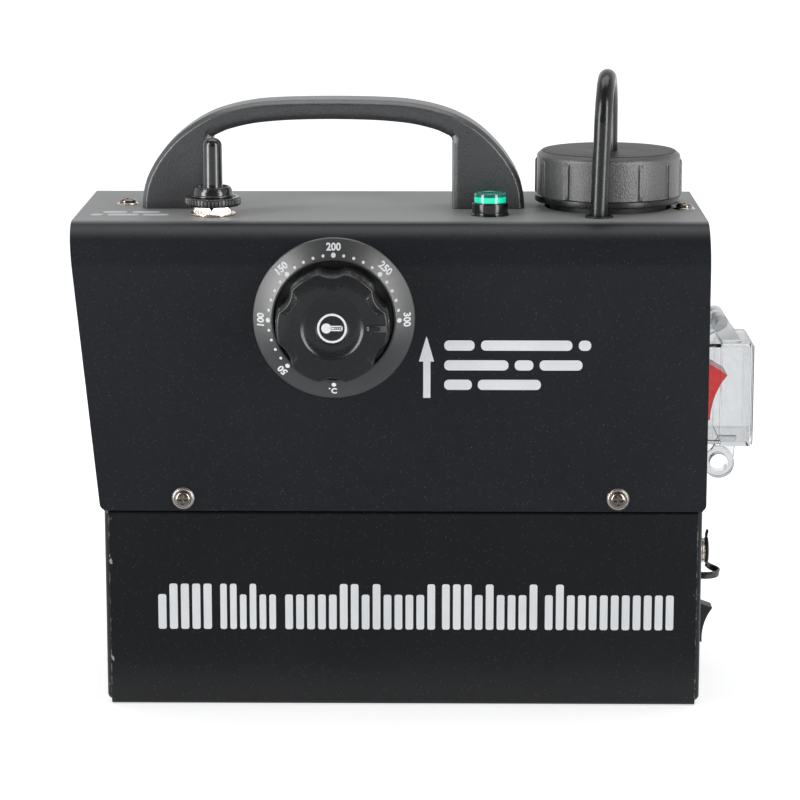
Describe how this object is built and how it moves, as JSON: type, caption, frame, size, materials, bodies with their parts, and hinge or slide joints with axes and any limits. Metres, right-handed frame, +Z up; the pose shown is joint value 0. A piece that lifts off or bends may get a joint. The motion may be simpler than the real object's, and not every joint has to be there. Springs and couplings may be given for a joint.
{
  "type": "fog machine",
  "caption": "Portable battery fog machine: sheet-steel box with arched handle, screw-capped tank and hose, thermostat dial, booted toggle, pilot lamp and a guarded rocker switch.",
  "frame": {"origin": "centre of the flat underside of the battery case", "axes": "+X towards the switch end, +Y towards the plain rear side, +Z up; the dial faces -Y"},
  "size_m": [0.2881, 0.16, 0.2643],
  "materials": {
    "powder_coat": "fine textured black powder coat",
    "nickel": "nickel plated",
    "black_grained_plastic": "grained black moulding",
    "black_satin_plastic": "satin black moulding",
    "black_rubber": "smooth black rubber",
    "green_lens": "translucent green",
    "red_rocker_plastic": "gloss red moulding",
    "clear_plastic": "clear moulding",
    "tank_plastic": "natural blow moulding",
    "silicone": "milky silicone",
    "brass": "machined",
    "aluminium": "cast and machined",
    "steel": "bare steel",
    "pump_coil_wrap": "overmoulded coil",
    "insulation": "needled fibre blanket",
    "switch_body": "moulded phenolic",
    "copper_tube": "drawn copper",
    "cell_wrap": "shrink sleeve",
    "circuit_board": "printed board",
    "wire_insulation": "PVC"
  },
  "bodies": {
    "root": {"base_screws": "nickel", "battery_case_tray": "powder_coat", "battery_case_wrap": "powder_coat", "battery_cells": "cell_wrap", "battery_holders": "black_satin_plastic", "battery_monitor_board": "circuit_board", "black_switch_housing": "black_satin_plastic", "carry_handle": "black_grained_plastic", "case_joining_screws": "nickel", "case_screws": "nickel", "charge_socket": "nickel", "charge_socket_nut": "nickel", "control_board": "circuit_board", "cover_hinge_pin": "nickel", "dial_bezel": "black_satin_plastic", "dust_cap_strap": "black_rubber", "fluid_hose": "black_rubber", "fluid_tank": "tank_plastic", "fog_nozzle": "brass", "handle_screws": "nickel", "heater_block": "aluminium", "heater_brackets": "steel", "heater_elements": "nickel", "heater_feed_tube": "silicone", "heater_inlet_fitting": "brass", "heater_insulation": "insulation", "hose_grommet": "black_rubber", "nozzle_ring": "black_satin_plastic", "pickup_filter": "tank_plastic", "pilot_lamp_bezel": "black_satin_plastic", "pilot_lamp_lens": "green_lens", "pump_bracket": "steel", "pump_coil": "pump_coil_wrap", "pump_spring": "nickel", "pump_tube": "steel", "red_switch_housing": "black_satin_plastic", "screw_washers": "nickel", "switch_cover_base": "clear_plastic", "thermal_cutout": "nickel", "thermostat_body": "switch_body", "thermostat_capillary": "copper_tube", "toggle_boot_collar": "black_rubber", "toggle_hex_nut": "nickel", "toggle_knurled_ring": "black_satin_plastic", "toggle_switch_body": "switch_body", "toggle_washer": "nickel", "upper_chassis": "powder_coat", "upper_shell": "powder_coat", "wiring_loom": "wire_insulation"},
    "thermostat_dial": {"thermostat_knob": "black_satin_plastic", "thermostat_shaft": "nickel"},
    "toggle_arm": {"toggle_lever": "nickel", "toggle_boot_finger": "black_rubber"},
    "red_rocker_arm": {"red_rocker": "red_rocker_plastic"},
    "black_rocker_arm": {"black_rocker": "black_satin_plastic"},
    "clear_cover": {"switch_cover_lid": "clear_plastic"},
    "cap_lift_stage": {"cap_liner": "black_rubber"},
    "screw_cap": {"tank_cap": "black_grained_plastic"},
    "socket_dust_cap": {"dust_cap": "black_rubber"},
    "pump_armature": {"pump_plunger": "nickel"}
  },
  "joints": [
    {"name": "dial_turn", "type": "hinge", "parent": "root", "child": "thermostat_dial", "pos_m": [-0.0284, -0.078, 0.1661], "axis": [0, -1, 0], "range_deg": [0, 270]},
    {"name": "toggle_flick", "type": "hinge", "parent": "root", "child": "toggle_arm", "pos_m": [-0.0804, -0.029, 0.206], "axis": [-1, 0, 0], "range_deg": [-13, 13], "stiffness_Nm_per_rad": 0.05},
    {"name": "red_rocker_rock", "type": "hinge", "parent": "root", "child": "red_rocker_arm", "pos_m": [0.1256, 0, 0.1255], "axis": [0, -1, 0], "range_deg": [0, 40]},
    {"name": "black_rocker_rock", "type": "hinge", "parent": "root", "child": "black_rocker_arm", "pos_m": [0.125, 0, 0.021], "axis": [0, -1, 0], "range_deg": [0, 32]},
    {"name": "cover_open", "type": "hinge", "parent": "root", "child": "clear_cover", "pos_m": [0.1353, 0, 0.1549], "axis": [0, -1, 0], "range_deg": [0, 105]},
    {"name": "cap_rise", "type": "slide", "parent": "root", "child": "cap_lift_stage", "axis": [0, 0, 1], "range_m": [0, 0.00901]},
    {"name": "cap_turn", "type": "hinge", "parent": "cap_lift_stage", "child": "screw_cap", "pos_m": [0.0874, 0, 0.206], "axis": [0, 0, 1], "range_deg": [0, 810]},
    {"name": "dust_cap_flip", "type": "hinge", "parent": "root", "child": "socket_dust_cap", "pos_m": [0.1373, 0, 0.0437], "axis": [0, 1, 0], "range_deg": [0, 100]},
    {"name": "pump_stroke", "type": "slide", "parent": "root", "child": "pump_armature", "axis": [1, 0, 0], "range_m": [0, 0.004], "stiffness_N_per_m": 200}
  ],
  "couplings": [
    {"joint": "cap_rise", "follows": "cap_turn", "m_per_rad": 0.00063662}
  ]
}
